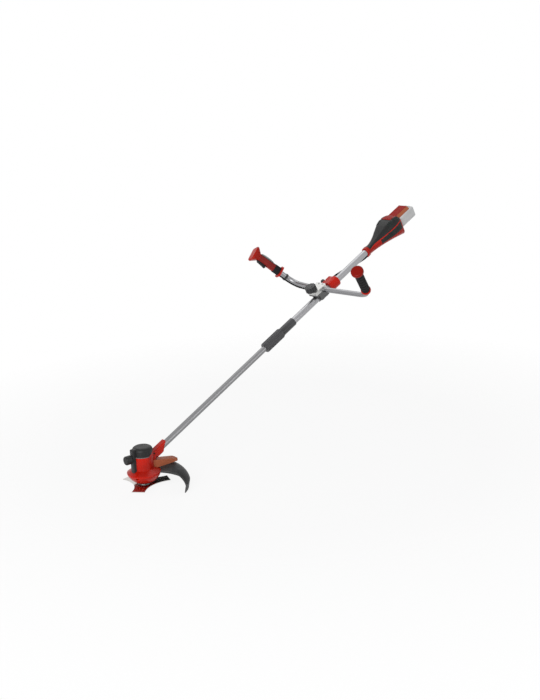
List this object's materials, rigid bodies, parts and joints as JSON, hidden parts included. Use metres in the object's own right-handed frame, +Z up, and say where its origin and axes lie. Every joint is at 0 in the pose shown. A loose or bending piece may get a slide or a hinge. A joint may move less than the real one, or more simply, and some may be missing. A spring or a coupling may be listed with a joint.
{
  "type": "battery trimmer",
  "caption": "long-shaft battery trimmer with bicycle handlebar, motor head with three-tooth blade and rear guard, split shaft coupling and slide-on battery pack",
  "frame": {"origin": "free lower end of the cutter spindle, on the spindle axis", "axes": "+Z up along the spindle, +X back towards the battery, +Y to the user's right"},
  "size_m": [1.6631, 0.6717, 0.9337],
  "materials": {
    "red_plastic": "satin moulded red",
    "dull_red_plastic": "matt brownish red",
    "dark_plastic": "fine-grained dark grey",
    "black_plastic": "plain black",
    "grip_rubber": "matt rubber",
    "grey_plastic": "fine-grained light grey",
    "latch_plastic": "plain mid grey",
    "lower_tube_metal": "drawn, dull",
    "upper_tube_metal": "drawn, bright",
    "clamp_metal": "cast, satin",
    "blade_steel": "rolled sheet",
    "dark_steel": "blackened",
    "screw_steel": "zinc plated",
    "core_steel": "laminated",
    "board": "solder mask",
    "cell_wrap": "shrink sleeve"
  },
  "bodies": {
    "upper_unit": {"upper_tube": "upper_tube_metal", "coupling_body": "dark_plastic", "connector_socket": "black_plastic", "clamp_saddle": "clamp_metal", "clamp_cap": "clamp_metal", "clamp_strap": "clamp_metal", "clamp_screws": "screw_steel", "harness_clamp": "red_plastic", "harness_eyelet": "dark_plastic", "control_cable_shaft": "grip_rubber", "control_cable_loop": "grip_rubber", "rear_collar": "red_plastic", "rear_top_cover": "dark_plastic", "rear_shell_left": "red_plastic", "rear_shell_right": "red_plastic", "rear_top_trim": "red_plastic", "vent_panels": "dark_plastic", "battery_rail": "dull_red_plastic", "terminal_block": "black_plastic", "controller_board": "board"},
    "lower_unit": {"lower_tube": "lower_tube_metal", "connector_plug": "black_plastic", "head_shell_left": "red_plastic", "head_shell_right": "red_plastic", "head_screws": "screw_steel", "motor_cap": "dark_plastic", "guard_bracket": "dull_red_plastic", "guard": "dark_plastic", "guard_screws": "screw_steel", "motor_base": "clamp_metal", "bearings": "screw_steel", "stator": "core_steel", "motor_plate": "clamp_metal"},
    "cutter": {"spindle": "dark_steel", "rotor": "core_steel", "cooling_fan": "black_plastic", "drive_flange": "dark_steel", "blade": "blade_steel", "glide_cup": "dark_steel", "blade_nut": "dark_steel"},
    "lock_button": {"lock_button": "dark_plastic"},
    "coupling_nut": {"coupling_nut": "dark_plastic"},
    "star_knob": {"star_knob": "dark_plastic"},
    "handlebar": {"handlebar": "upper_tube_metal", "left_grip": "grip_rubber", "left_collar": "red_plastic", "left_end_cap": "red_plastic", "handle_shell_inner": "red_plastic", "handle_shell_outer": "red_plastic", "grip_sleeve": "grip_rubber", "handle_pins": "screw_steel", "handle_switch": "black_plastic", "control_cable_bar": "grip_rubber", "cable_clip": "dark_plastic"},
    "trigger": {"trigger": "black_plastic"},
    "lock_lever": {"lock_lever": "latch_plastic"},
    "battery": {"battery_base": "grey_plastic", "battery_cover": "grey_plastic", "battery_cells": "cell_wrap"},
    "battery_latch": {"battery_latch": "latch_plastic"}
  },
  "joints": [
    {"name": "shaft_pull", "type": "slide", "parent": "upper_unit", "child": "lower_unit", "axis": [-0.891, 0, -0.454], "range_m": [0, 0.08]},
    {"name": "cutter_spin", "type": "hinge", "parent": "lower_unit", "child": "cutter", "pos_m": [0, 0, 0.06], "axis": [0, 0, 1], "continuous": true},
    {"name": "lock_press", "type": "slide", "parent": "lower_unit", "child": "lock_button", "axis": [1, 0, 0], "range_m": [0, 0.005], "stiffness_N_per_m": 600, "springref_m": -0.002},
    {"name": "coupling_turn", "type": "hinge", "parent": "upper_unit", "child": "coupling_nut", "pos_m": [0.69231, 0, 0.45175], "axis": [0.891, 0, 0.454], "continuous": true},
    {"name": "knob_turn", "type": "hinge", "parent": "upper_unit", "child": "star_knob", "pos_m": [0.93295, 0.006, 0.62487], "axis": [-0.454, 0, 0.891], "continuous": true},
    {"name": "handlebar_tilt", "type": "hinge", "parent": "upper_unit", "child": "handlebar", "pos_m": [0.97631, 0, 0.62788], "axis": [0, 1, 0], "range_deg": [-30, 30], "deforming": ["control_cable_loop"]},
    {"name": "trigger_pull", "type": "hinge", "parent": "handlebar", "child": "trigger", "pos_m": [0.85821, 0.26582, 0.74862], "axis": [-0.1763, -0.9215, 0.346], "range_deg": [0, 7], "stiffness_Nm_per_rad": 0.4, "springref_deg": -11.46},
    {"name": "lever_press", "type": "hinge", "parent": "handlebar", "child": "lock_lever", "pos_m": [0.91759, 0.24218, 0.7159], "axis": [-0.1763, -0.9215, 0.346], "range_deg": [0, 5], "stiffness_Nm_per_rad": 0.4, "springref_deg": -11.46},
    {"name": "battery_slide", "type": "slide", "parent": "upper_unit", "child": "battery", "axis": [0.891, 0, 0.454], "range_m": [0, 0.11]},
    {"name": "latch_press", "type": "slide", "parent": "battery", "child": "battery_latch", "axis": [-0.891, 0, -0.454], "range_m": [0, 0.003], "stiffness_N_per_m": 700, "springref_m": -0.002}
  ]
}
